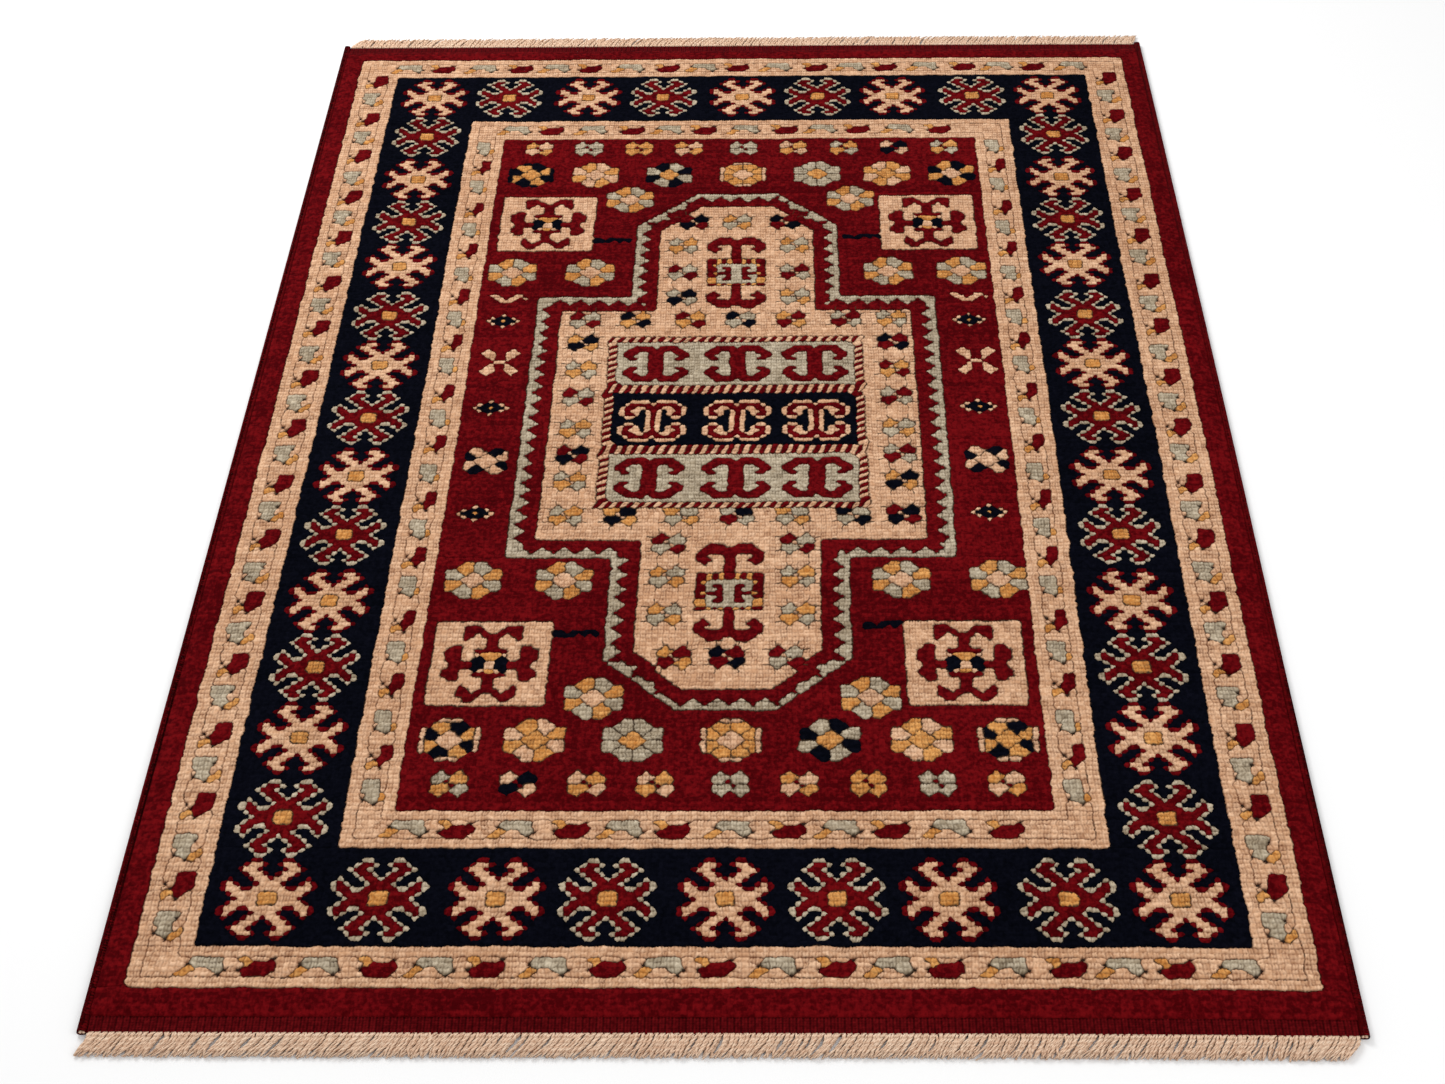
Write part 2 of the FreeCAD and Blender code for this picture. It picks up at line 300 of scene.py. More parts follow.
# ---------------------------------------------------------------- small marks of the field
for col, row in ((62, 205), (114, 206), (62, 82), (115, 84)):
    knot_in(["NN.NNNNN", "NNNN.N.N"], col, row, 0.3)
DIAMOND = ["...I...", ".INNNI.", "INNGNNI", ".INNNI.", "...I..."]
CROSSED_HOOKS = [
    ".I....I.", "III..III", ".II..II.", "..I..I..", "...II...",
    "..I..I..", ".II..II.", "III..III", ".I....I.",
]
for col in (42, 135):
    knot_in(["II...II.", ".II.II.I", "..III..."], col, 183, 0.6)
    for row in (174, 145, 113):
        knot_in(DIAMOND, col, row, 0.8)
    knot_in(CROSSED_HOOKS, col, 158, 0.6)
    round_flower(DAISY, col, 127, "N", "I", "I")

# ---------------------------------------------------------------- the corner squares
HOOKED_CROSS = both_sides([
    "..........", "..RRR.....", ".RRRR.....", "RR.RR.....", "R...R.....", "R.........", "R....RR...",
    "RRR..RRR..", "GGI..RRR..", "GNN..RRR..", "INNRRRR...", "INNRRRR...", "GIN..RRR..", "RRR..RRR..",
    "R....RR...", "R.........", "R...R.....", "RR.RR.....", ".RRRR.....", "..RR......", "..........",
])
corner_squares = np.zeros((ROWS, KNOTS), bool)
for col in (42, 122):
    for row in (65, 202):
        fill(col, row, 20, 21, "I", 1.0)
        knot_in(HOOKED_CROSS, col, row, 0.5)
        corner_squares[row : row + 21, col : col + 20] = True

# ---------------------------------------------------------------- the shields with their horns
HORNS = both_sides([".RRR..", "RRRRR.", "RRRRRR", "R...RR", "R..RRR", "R...R.", "R.....", "R....."])
SHIELD = both_sides([
    "RGRGRR", "RGRGRR", "SSSSGR", "SRRSRR", "SRSSRR",
    "SRRRGR", "SRSSRR", "SRRSGG", "SSSSGG", "RGRGRR",
])
head_shields = np.zeros((ROWS, KNOTS), bool)
for row in (89, 189):
    knot_in(HORNS, 86, row + 10, 0.5)
    knot_in(HORNS[::-1], 86, row - 8, 0.5)
    knot_in(SHIELD, 86, row, 0.8)
    head_shields[row : row + 10, 86:98] = True

# ---------------------------------------------------------------- the panel
in_panel = (np.abs(col_mid) < 25) & (row_mid < 27)
motif_count[0] += 8
chart[in_panel], motif[in_panel], outlined[in_panel] = MADDER, motif_count[0], 0.8
slant = (np.arange(KNOTS)[None, :] + np.zeros((ROWS, 1), int)) % 2 == 0
rungs = (np.arange(ROWS)[:, None] % 2 == 0) & (col_mid > 0)
ends = (row_mid > 25) | ((row_mid > 8) & (row_mid < 11))
chart[in_panel & np.where(ends, slant, rungs)] = IVORY
HORN_PAIR = both_ways(both_sides([
    ".RRRR..", "RRRRRR.", "RR..RRR", "RR...RR", "RR..RR.", "RR.....",
], shared=True))
HORN_LINE = both_ways(both_sides([
    ".iiii..", "iRRRRi.", "RRiiRRi", "Ri.iiRi", "Ri.iRRi", "Ri..ii.", "Ri.....",
], shared=True), shared=True)
for row, long, ground, horns, dyes in (
    (119, 14, "S", HORN_PAIR, {}), (136, 16, "N", HORN_LINE, {"i": "I"}), (155, 14, "S", HORN_PAIR, {}),
):
    fill(69, row, 46, long, ground, 0.8)
    for start in (1, 17, 32):
        knot_in(horns, 69 + start, row + 1, 0.3 if ground == "N" else 0.5, dyes)

# ---------------------------------------------------------------- the pile's surface
# Each knot is two tufts side by side. The brown outline knots are short, and
# their neighbours close over them.
ACROSS, ALONG = 4, 3
SHORT = np.array([0.0, 0.1, 0.2, 0.25, 0.2, 1.5])[chart] * 1e-3
knot_top = PILE_TOP - 0.0004 - SHORT + chance.normal(0, 0.00022, chart.shape)
GROOVE = np.array([0.5, 0.45, 1.0, 1.0, 1.0, 0.8])[chart] * 1e-3 * chance.uniform(0.6, 1.35, chart.shape)

fine_col = np.arange(ACROSS * KNOTS + 1)
fine_row = np.arange(ALONG * ROWS + 1)
left, right = np.clip((fine_col - 1) // ACROSS, 0, None), np.clip(fine_col // ACROSS, None, KNOTS - 1)
near, far = np.clip((fine_row - 1) // ALONG, 0, None), np.clip(fine_row // ALONG, None, ROWS - 1)
corners = [(near, left), (near, right), (far, left), (far, right)]
tops = np.stack([knot_top[np.ix_(a, b)] for a, b in corners])
grooves = np.stack([GROOVE[np.ix_(a, b)] for a, b in corners]).mean(0)
ids = np.stack([motif[np.ix_(a, b)] for a, b in corners])
yarns = np.stack([chart[np.ix_(a, b)] for a, b in corners])
lines = np.stack([outlined[np.ix_(a, b)] for a, b in corners]).max(0)
between = ((ids != ids[0]).any(0) | (yarns != yarns[0]).any(0))
on_col, on_row = (fine_col % ACROSS == 0)[None, :], (fine_row % ALONG == 0)[:, None]
between_tufts = (fine_col % ACROSS == 2)[None, :]

surface_z = tops.max(0) * 0.5 + tops.min(0) * 0.5
inside_x = (fine_col > 0) & (fine_col < fine_col[-1])
inside_y = (fine_row > 0) & (fine_row < fine_row[-1])
dips = 0.95 * on_col * inside_x[None, :] + 0.8 * on_row * inside_y[:, None] + 0.5 * between_tufts
surface_z = surface_z - grooves * dips * (1 - 0.35 * (on_col & on_row))
surface_z = surface_z - between * 0.0006
# The pile slopes down in the last two or three knots before an end or a side.
knots_to_end = np.minimum(fine_row, fine_row[-1] - fine_row)[:, None] / ALONG
knots_to_side = np.minimum(fine_col, fine_col[-1] - fine_col)[None, :] / ACROSS
from_end = np.clip(1 - knots_to_end / 2.8, 0, 1) ** 1.7 * 0.0044
from_side = np.clip(1 - knots_to_side / 2.2, 0, 1) ** 1.7 * 0.0026
surface_z += chance.normal(0, 0.00010, surface_z.shape)

light = np.isin(yarns, (IVORY, SAGE, GOLD)).any(0)
dashes = chance.uniform(0.3, 1.15, surface_z.shape)
brown_line = np.clip(between * light * lines * dashes, 0, 1)
beside = np.max([np.roll(brown_line, by, axis) for axis in (0, 1) for by in (1, -1)], 0)
brown_line = np.maximum(brown_line, np.where(light & (lines > 0.95), 0.45 * beside, 0))
shade = np.clip((PILE_TOP - 0.0006 - surface_z) / 0.0022, 0, 1)
surface_z -= np.maximum(from_end, from_side)
for col, row in petal_ticks:
    for side in (-1, 1):
        for end in (-1, 1):
            reach = sorted(((col + 3 * side) * ACROSS, (col + 4 * side) * ACROSS))
            brown_line[(row + 2 * end) * ALONG, reach[0] : reach[1]] = 0.9
            reach = sorted(((row + 3 * end) * ALONG, (row + 4 * end) * ALONG))
            brown_line[reach[0] : reach[1] + 1, (col + 2 * side) * ACROSS] = 0.8

# In plan the knots are a little uneven, and the whole rug wanders by a millimetre or two.
plan_x = np.broadcast_to(ground_low[0] + fine_col * KNOT_WIDE / ACROSS, surface_z.shape).copy()
plan_y = np.broadcast_to((ground_low[1] + fine_row * KNOT_LONG / ALONG)[:, None], surface_z.shape).copy()
brown = chart == BROWN
squeeze_x = brown[np.ix_(far, right)].astype(float) - brown[np.ix_(far, left)].astype(float)
squeeze_y = brown[np.ix_(far, right)].astype(float) - brown[np.ix_(near, right)].astype(float)
plan_x += on_col * squeeze_x * 0.33 * KNOT_WIDE
plan_y += on_row * squeeze_y * 0.30 * KNOT_LONG


def loose(size, cols_apart, rows_apart):
    """Smooth unevenness over the surface, with a new value every few steps."""
    coarse = chance.normal(0, size, (len(fine_row) // rows_apart + 2, len(fine_col) // cols_apart + 2))
    up, over = fine_row / rows_apart, fine_col / cols_apart
    below, beside_it = up.astype(int), over.astype(int)
    up_share, over_share = (up - below)[:, None], (over - beside_it)[None, :]
    return (
        coarse[np.ix_(below, beside_it)] * (1 - up_share) * (1 - over_share)
        + coarse[np.ix_(below + 1, beside_it)] * up_share * (1 - over_share)
        + coarse[np.ix_(below, beside_it + 1)] * (1 - up_share) * over_share
        + coarse[np.ix_(below + 1, beside_it + 1)] * up_share * over_share
    )


def leaning(reach, half):
    """A push that grows across a stripe, from -1 to 1, and fades within a knot outside it."""
    fading = np.sign(reach) * np.clip(1 - (np.abs(reach) - 1) * half, 0, 1)
    return np.where(np.abs(reach) <= 1.01, reach, fading)


# The candy stripes lean: their knots are pushed sideways, more at one edge than the other.
panel_i = np.clip((27 - np.abs(fine_col / ACROSS - MIDDLE_COL)) / 2, 0, 1)[None, :]
from_middle = fine_row / ALONG - MIDDLE_ROW
for centre, half in ((-26, 1), (-9.5, 1.5), (9.5, 1.5), (26, 1)):
    reach = (from_middle - centre) / half
    plan_x += leaning(reach, half)[:, None] * panel_i * 0.45 * KNOT_WIDE
panel_j = np.clip((26 - np.abs(from_middle)) / 2, 0, 1)[:, None]
for centre in (-24, 24):
    reach = fine_col / ACROSS - MIDDLE_COL - centre
    plan_y += leaning(reach, 1)[None, :] * panel_j * 0.5 * KNOT_LONG
push_x = loose(0.0006, 4, 3) + loose(0.0006, 11, 7) + chance.normal(0, 0.0003, len(fine_row))[:, None]
plan_x += push_x * np.clip(knots_to_side, 0, 1)
push_y = loose(0.0005, 4, 3) + loose(0.0005, 13, 8) + chance.normal(0, 0.0002, len(fine_col))[None, :]
plan_y += push_y * np.clip(knots_to_end, 0, 1)
surface_z += loose(0.00018, 9, 7)

# Tufts are round, so a motif's corner is drawn in towards the knot that stands alone there.
# Both draws are shares of a knot.
CORNER_DRAW, VALLEY_DRAW = 0.27, 0.42
looks = chart * 1000000 + motif
four = np.stack([looks[:-1, :-1], looks[:-1, 1:], looks[1:, :-1], looks[1:, 1:]])
draw_x, draw_y = np.zeros((ROWS + 1, KNOTS + 1)), np.zeros((ROWS + 1, KNOTS + 1))
for alone, (side, end) in enumerate(((-1, -1), (1, -1), (-1, 1), (1, 1))):
    others = [four[k] for k in range(4) if k != alone]
    single = (others[0] == others[1]) & (others[1] == others[2]) & (four[alone] != others[0])
    draw_x[1:-1, 1:-1] += single * side * CORNER_DRAW * KNOT_WIDE
    draw_y[1:-1, 1:-1] += single * end * CORNER_DRAW * KNOT_LONG
# Between two petals the rim dips in.
for twin, pair, dip_x, dip_y in (
    ((0, 1), (2, 3), 0, 1), ((2, 3), (0, 1), 0, -1), ((0, 2), (1, 3), 1, 0), ((1, 3), (0, 2), -1, 0),
):
    one, other = four[pair[0]], four[pair[1]]
    rim, rim_too = four[twin[0]], four[twin[1]]
    valley = (rim == rim_too) & (one != other) & (one != rim) & (other != rim)
    draw_x[1:-1, 1:-1] += valley * dip_x * VALLEY_DRAW * KNOT_WIDE
    draw_y[1:-1, 1:-1] += valley * dip_y * VALLEY_DRAW * KNOT_LONG
share_x = np.array([1.0, 0.42, 0.0, 0.42])[fine_col % ACROSS][None, :]
share_y = np.array([1.0, 0.36, 0.36])[fine_row % ALONG][:, None]
nearest = np.ix_(np.rint(fine_row / ALONG).astype(int), np.rint(fine_col / ACROSS + 0.001).astype(int))
plan_x += draw_x[nearest] * share_x * share_y
plan_y += draw_y[nearest] * share_x * share_y
plan_x += chance.normal(0, 0.00022, surface_z.shape) * inside_x[None, :]
plan_y += chance.normal(0, 0.00022, surface_z.shape) * inside_y[:, None]


def wander(x, y):
    """Where a point of a perfectly straight rug lies on this handmade one."""
    over = 0.0016 * np.sin(2.3 * y + 0.6) + 0.0009 * np.sin(7.1 * y + 1.9) * np.cos(2.1 * x)
    on = 0.0018 * np.sin(3.1 * x + 0.4) + 0.0010 * np.sin(8.3 * x - 1.1) * np.cos(1.7 * y)
    return x + over, y + on


plan_x, plan_y = wander(plan_x, plan_y)
tone = chance.normal(0, 1, (ROWS, KNOTS))
tone = tone * 0.75 + chance.normal(0, 0.5, (ROWS, 1))


# ---------------------------------------------------------------- yarn and dye
def link(tree, a, b):
    tree.links.new(a, b)


def group_node(tree, group, **values):
    node = tree.nodes.new("ShaderNodeGroup")
    node.node_tree = group
    for name, value in values.items():
        node.inputs[name.replace("_", " ")].default_value = value
    return node


def number(tree, operation, *inputs):
    node = tree.nodes.new("ShaderNodeMath")
    node.operation = operation
    for socket, value in zip(node.inputs, inputs):
        if isinstance(value, (int, float)):
            socket.default_value = value
        else:
            link(tree, value, socket)
    return node.outputs[0]


def mix(tree, how, share, a, b):
    node = tree.nodes.new("ShaderNodeMix")
    node.data_type, node.blend_type = "RGBA", how
    for socket, value in ((node.inputs[0], share), (node.inputs[6], a), (node.inputs[7], b)):
        if isinstance(value, (int, float, tuple)):
            socket.default_value = value
        else:
            link(tree, value, socket)
    return node.outputs[2]


def swing(tree, noise_value, strength):
    """A noise between 0 and 1, turned into a swing to both sides of 0."""
    return number(tree, "MULTIPLY", number(tree, "SUBTRACT", noise_value, 0.5), strength)


def clamped(tree, value):
    node = tree.nodes.new("ShaderNodeClamp")
    link(tree, value, node.inputs[0])
    return node.outputs[0]


def noise(tree, where, scale, detail=2.0, rough=0.55):
    node = tree.nodes.new("ShaderNodeTexNoise")
    node.inputs["Scale"].default_value = scale
    node.inputs["Detail"].default_value = detail
    node.inputs["Roughness"].default_value = rough
    link(tree, where, node.inputs["Vector"])
    return node.outputs["Fac"]


def stretched(tree, where, scale):
    node = tree.nodes.new("ShaderNodeMapping")
    node.inputs["Scale"].default_value = scale
    link(tree, where, node.inputs["Vector"])
    return node.outputs[0]


OUTLINE_BROWN = (0.040, 0.022, 0.011, 1.0)


def yarn_group():
    """Dyed wool: lighter and darker tufts, painted shade in the grooves, brown outline marks and fine
    fibre.
    """
    tree = bpy.data.node_groups.new("dyed_wool", "ShaderNodeTree")
    for name in ("Dye", "Tip", "Deep"):
        tree.interface.new_socket(name, in_out="INPUT", socket_type="NodeSocketColor")
    for name in ("Tuft change", "Groove", "Streak"):
        tree.interface.new_socket(name, in_out="INPUT", socket_type="NodeSocketFloat")
    tree.interface.new_socket("Colour", in_out="OUTPUT", socket_type="NodeSocketColor")
    for name in ("Roughness", "Height"):
        tree.interface.new_socket(name, in_out="OUTPUT", socket_type="NodeSocketFloat")
    given, made = tree.nodes.new("NodeGroupInput"), tree.nodes.new("NodeGroupOutput")
    place = tree.nodes.new("ShaderNodeTexCoord").outputs["Object"]

    def attribute(name):
        node = tree.nodes.new("ShaderNodeAttribute")
        node.attribute_name = name
        return node.outputs["Fac"]

    cloud = noise(tree, place, 5.0, 3.0)
    tufts = noise(tree, place, 210.0, 2.0)
    fibre = noise(tree, stretched(tree, place, (1.0, 0.35, 1.0)), 1500.0, 2.0, 0.7)
    streak = noise(tree, stretched(tree, place, (1.0, 0.12, 1.0)), 190.0, 2.0)
    change = number(tree, "MULTIPLY", attribute("tone"), 0.16)
    change = number(tree, "ADD", change, swing(tree, tufts, 2.2))
    change = number(tree, "ADD", change, swing(tree, cloud, 0.9))
    change = number(tree, "MULTIPLY", change, given.outputs["Tuft change"])
    change = number(tree, "ADD", change, swing(tree, streak, given.outputs["Streak"]))
    change = number(tree, "ADD", change, swing(tree, fibre, 0.5))
    lightness = clamped(tree, number(tree, "ADD", change, 0.4))
    colour = mix(tree, "MIX", lightness, given.outputs["Dye"], given.outputs["Tip"])
    # Painted shade: where the shade attribute marks a groove, the colour is mixed towards the shadow
    # colour, as strongly as the shading input asks.
    groove_shade = clamped(tree, number(tree, "MULTIPLY", attribute("shade"), given.outputs["Groove"]))
    colour = mix(tree, "MIX", groove_shade, colour, given.outputs["Deep"])
    line = number(tree, "ADD", attribute("brown_line"), swing(tree, tufts, 1.1))
    line = clamped(tree, number(tree, "MULTIPLY", number(tree, "SUBTRACT", line, 0.26), 1.6))
    colour = mix(tree, "MIX", line, colour, OUTLINE_BROWN)
    link(tree, colour, made.inputs["Colour"])
    link(tree, number(tree, "ADD", 0.84, number(tree, "MULTIPLY", fibre, 0.14)), made.inputs["Roughness"])
    link(tree, number(tree, "ADD", number(tree, "MULTIPLY", fibre, 0.55), tufts), made.inputs["Height"])
    return tree


DYED_WOOL = yarn_group()


def srgb(*shades):
    """A screen colour, each part from 0 to 255, as the colour that Blender calculates with."""
    parts = [v / 255 / 12.92 if v <= 10 else ((v / 255 + 0.055) / 1.055) ** 2.4 for v in shades]
    return (*parts, 1.0)


# The third colour is a painted shade colour, mixed in where a piece's shade attribute marks grooves; the
# shading number sets how strongly.
def wool(name, dye, tip, shadow, tuft_change=1.0, shading=0.7, streak=0.3, sheen=0.1, shine=0.12, bump=0.0009):
    material = bpy.data.materials.new(name)
    material.use_nodes = True
    tree = material.node_tree
    shader = tree.nodes["Principled BSDF"]
    yarn = group_node(
        tree, DYED_WOOL, Dye=srgb(*dye), Tip=srgb(*tip), Deep=srgb(*shadow),
        Tuft_change=tuft_change, Groove=shading, Streak=streak,
    )
    link(tree, yarn.outputs["Colour"], shader.inputs["Base Color"])
    link(tree, yarn.outputs["Roughness"], shader.inputs["Roughness"])
    dent = tree.nodes.new("ShaderNodeBump")
    dent.inputs["Distance"].default_value = bump
    dent.inputs["Strength"].default_value = 0.7
    link(tree, yarn.outputs["Height"], dent.inputs["Height"])
    link(tree, dent.outputs[0], shader.inputs["Normal"])
    shader.inputs["Specular IOR Level"].default_value = shine
    shader.inputs["Sheen Weight"].default_value = sheen
    shader.inputs["Sheen Roughness"].default_value = 0.45
    shader.inputs["Sheen Tint"].default_value = srgb(*tip)
    return material


PILE_WOOL = [
    wool("madder_pile", (68, 1, 5), (108, 10, 15), (20, 0, 1), 1.35, 0.85, 1.0, 0.03, 0.02),
    wool("navy_pile", (3, 4, 9), (11, 12, 22), (1, 1, 3), 0.8, 0.6, 0.5, 0.0, 0.01),
    wool("ivory_pile", (202, 154, 117), (236, 194, 158), (104, 60, 36), 1.1, 1.15, 0.1, 0.1),
    wool("sage_pile", (162, 145, 120), (206, 191, 166), (72, 56, 38), 1.1, 1.15, 0.1, 0.1),
    wool("gold_pile", (190, 122, 56), (230, 168, 98), (86, 46, 16), 1.1, 1.1, 0.1, 0.1),
    wool("brown_pile", (40, 25, 16), (62, 40, 27), (18, 11, 7), 0.8, 0.6, 0.1, 0.02),
]
MADDER_WEAVE = wool("madder_weave", (72, 2, 6), (108, 14, 18), (22, 0, 1), 0.9, 0.85, 0.6, 0.03, 0.03)
OVERCAST = wool("madder_overcast", (70, 1, 5), (104, 8, 12), (24, 0, 1), 0.9, 0.8, 0.3, 0.03, 0.03)
WARP_YARN = wool("warp_yarn", (226, 188, 158), (246, 220, 194), (150, 106, 78), 0.9, 0.7, 0.2, 0.1)
BACK_WOOL = [
    wool("back_" + dye, *looks, 0.9, 0.6, 0.2)
    for dye, looks in zip(DYES, (
        ((84, 8, 12), (110, 18, 22), (44, 4, 6)), ((14, 14, 24), (28, 29, 42), (6, 6, 10)),
        ((186, 146, 112), (208, 172, 140), (124, 84, 54)), ((150, 136, 116), (176, 162, 140), (90, 74, 54)),
        ((186, 120, 52), (210, 146, 80), (100, 56, 20)), ((50, 34, 24), (68, 48, 34), (24, 16, 10))))
]


# ---------------------------------------------------------------- ways of working
def edit(select="VERT"):
    bpy.ops.object.mode_set(mode="EDIT")
    bpy.ops.mesh.select_mode(type=select)


def done():
    bpy.ops.object.mode_set(mode="OBJECT")


def new_grid(name, across, along):
    """A flat grid two units wide, with its corners at -1 and 1, ready to be shaped."""
    bpy.ops.object.select_all(action="DESELECT")
    bpy.ops.mesh.primitive_grid_add(x_subdivisions=across, y_subdivisions=along, size=2)
    piece = bpy.context.object
    piece.name = piece.data.name = name
    while piece.data.uv_layers:
        piece.data.uv_layers.remove(piece.data.uv_layers[0])
    co = np.empty(len(piece.data.vertices) * 3)
    piece.data.vertices.foreach_get("co", co)
    co = co.reshape(-1, 3)
    return piece, np.rint((co[:, :2] + 1) / 2 * (across, along)).astype(int)


def cells_of(grid, across, along):
    """The column and row of each face of a new grid."""
    mid = np.empty(len(grid.data.polygons) * 3)
    grid.data.polygons.foreach_get("center", mid)
    return np.floor((mid.reshape(-1, 3)[:, :2] + 1) / 2 * (across, along)).astype(int).T


def set_points(piece, x, y, z):
    piece.data.vertices.foreach_set("co", np.stack([x, y, z], 1).ravel())
    piece.data.update()


def set_values(piece, name, domain, values):
    layer = piece.data.attributes.new(name, "FLOAT", domain)
    layer.data.foreach_set("value", np.ascontiguousarray(values, np.float32))


def remove_faces(piece, unwanted):
    edit("FACE")
    bpy.ops.mesh.select_all(action="DESELECT")
    done()
    piece.data.polygons.foreach_set("select", unwanted)
    edit("FACE")
    bpy.ops.mesh.delete(type="FACE")
    done()


def select_rim():
    """Selects the open edges of the piece that is in edit mode."""
    bpy.ops.mesh.select_all(action="DESELECT")
    bpy.ops.mesh.select_mode(type="EDGE")
    bpy.ops.mesh.select_non_manifold(
        extend=False, use_wire=False, use_boundary=True,
        use_multi_face=False, use_non_contiguous=False, use_verts=False,
    )


def close_at(piece, level):
    """Draws a wall out of the rim to a level, and closes it there."""
    edit("EDGE")
    select_rim()
    bpy.ops.mesh.extrude_edges_move(TRANSFORM_OT_translate={"value": (0, 0, -0.001)})
    bpy.ops.transform.resize(value=(1, 1, 0), center_override=(0, 0, level))
    bpy.ops.mesh.fill(use_beauty=False)
    bpy.ops.mesh.select_all(action="SELECT")
    bpy.ops.mesh.normals_make_consistent(inside=False)
    done()


def close_tube(piece):
    """Joins the long edges of a grid that was rolled up, and closes its two ends."""
    edit("VERT")
    bpy.ops.mesh.select_all(action="SELECT")
    bpy.ops.mesh.remove_doubles(threshold=0.00005)
    select_rim()
    bpy.ops.mesh.fill(use_beauty=False)
    bpy.ops.mesh.select_all(action="SELECT")
    bpy.ops.mesh.normals_make_consistent(inside=False)
    done()


def finish_piece(piece, materials, slot, *nodes):
    for material in materials:
        if material.name not in piece.data.materials:
            piece.data.materials.append(material)
    piece.data.polygons.foreach_set("use_smooth", np.ones(len(piece.data.polygons), bool))
    piece.data.update()
    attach(piece, "root")
    if nodes:
        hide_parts(*nodes)
    return piece


# ---------------------------------------------------------------- the pile, zone by zone
def knots_of(node):
    """The columns and rows that a node of the pile covers."""
    low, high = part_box(node)
    corners_in_knots = [
        round((corner[axis] - ground_low[axis]) / knot)
        for corner in (low, high) for axis, knot in ((0, KNOT_WIDE), (1, KNOT_LONG))
    ]
    return tuple(corners_in_knots)


def pile_zone(node, slot, keep=None):
    first_col, first_row, last_col, last_row = knots_of(node)
    wide, long = last_col - first_col, last_row - first_row
    piece, where = new_grid(node + "_pile", wide * ACROSS, long * ALONG)
    cell_col, cell_row = cells_of(piece, wide * ACROSS, long * ALONG)
    over, up = where[:, 0] + first_col * ACROSS, where[:, 1] + first_row * ALONG
    set_points(piece, plan_x[up, over], plan_y[up, over], surface_z[up, over])
    col, row = cell_col // ACROSS + first_col, cell_row // ALONG + first_row
    used = sorted(set(chart[row, col]))
    for dye in used:
        piece.data.materials.append(PILE_WOOL[dye])
    yarn_number = np.searchsorted(used, chart[row, col]).astype(np.int32)
    piece.data.polygons.foreach_set("material_index", yarn_number)
    set_values(piece, "tone", "FACE", tone[row, col])
    set_values(piece, "shade", "POINT", shade[up, over])
    set_values(piece, "brown_line", "POINT", brown_line[up, over])
    if keep is not None:
        remove_faces(piece, ~keep[row, col])
    close_at(piece, GROUND_TOP)
    return finish_piece(piece, [], slot, node)


for zone, slot in (
    ("margin", "madder_pile"), ("outer_guard", "ivory_pile"),
    ("star_border", "navy_pile"), ("inner_guard", "ivory_pile"),
):
    for side in ("near", "far", "left", "right"):
        pile_zone(zone + "_" + side, slot)
field = ~in_outline & ~corner_squares
for side in ("near", "far", "left", "right"):
    pile_zone("field_" + side, "madder_pile", field)
pile_zone("corner_squares", "ivory_pile", corner_squares)
pile_zone("medallion_outline", "sage_pile", in_outline & ~in_lining)
pile_zone("medallion_lining", "madder_pile", in_lining & ~in_ground)
pile_zone("medallion_ground", "ivory_pile", in_ground & ~in_panel & ~head_shields)
pile_zone("head_shields", "madder_pile", head_shields)
in_bands = np.zeros((ROWS, KNOTS), bool)
for side, slot in (("near", "sage_pile"), ("middle", "navy_pile"), ("far", "sage_pile")):
    c0, r0, c1, r1 = knots_of("panel_band_" + side)
    in_bands[r0:r1, c0:c1] = True
    pile_zone("panel_band_" + side, slot)
pile_zone("panel_stripes", "madder_pile", in_panel & ~in_bands)

# ---------------------------------------------------------------- the woven ground
# From below, every knot shows as a small bead of its own dye.
ground, where = new_grid("ground_cloth", KNOTS, ROWS)
col, row = cells_of(ground, KNOTS, ROWS)
x, y = wander(ground_low[0] + where[:, 0] * KNOT_WIDE, ground_low[1] + where[:, 1] * KNOT_LONG)
set_points(ground, x, y, ground_low[2] + np.abs(chance.normal(0, 0.0002, len(x))))
for back in BACK_WOOL:
    ground.data.materials.append(back)
ground.data.polygons.foreach_set("material_index", chart[row, col].astype(np.int32))
set_values(ground, "tone", "FACE", tone[row, col])
edit("FACE")
bpy.ops.mesh.select_all(action="SELECT")
bpy.ops.mesh.flip_normals()
done()
close_at(ground, GROUND_TOP)
finish_piece(ground, [], "ground_weave", "woven_ground")


# ---------------------------------------------------------------- the kilim ends
def kilim_end(node):
    """A flat band woven without pile: a rib over every pair of warps, and fine weft rows across them."""
    low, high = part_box(node)
    along = 14
    piece, where = new_grid(node + "_band", KNOTS * ACROSS, along)
    x = low[0] + where[:, 0] * (high[0] - low[0]) / (KNOTS * ACROSS)
    y = low[1] + where[:, 1] * (high[1] - low[1]) / along
    rib = np.array([0.0, 0.8, 0.35, 0.8])[where[:, 0] % ACROSS]
    rib = rib * 0.0010 - (where[:, 1] % 2) * 0.0003 + chance.normal(0, 0.00008, len(x))
    x, y = wander(x, y)
    by_pile = np.clip(1 - np.abs(y - (high[1] if high[1] < 0 else low[1])) / 0.012, 0, 1)
    set_points(piece, x, y, high[2] - 0.0009 + rib + 0.0016 * by_pile)
    set_values(piece, "tone", "POINT", chance.normal(0, 1, len(x)))
    set_values(piece, "shade", "POINT", np.clip(0.75 - rib / 0.0009, 0, 1))
    close_at(piece, low[2])
    return finish_piece(piece, [MADDER_WEAVE], "madder_weave", node)


kilim_end("kilim_end_near")
kilim_end("kilim_end_far")


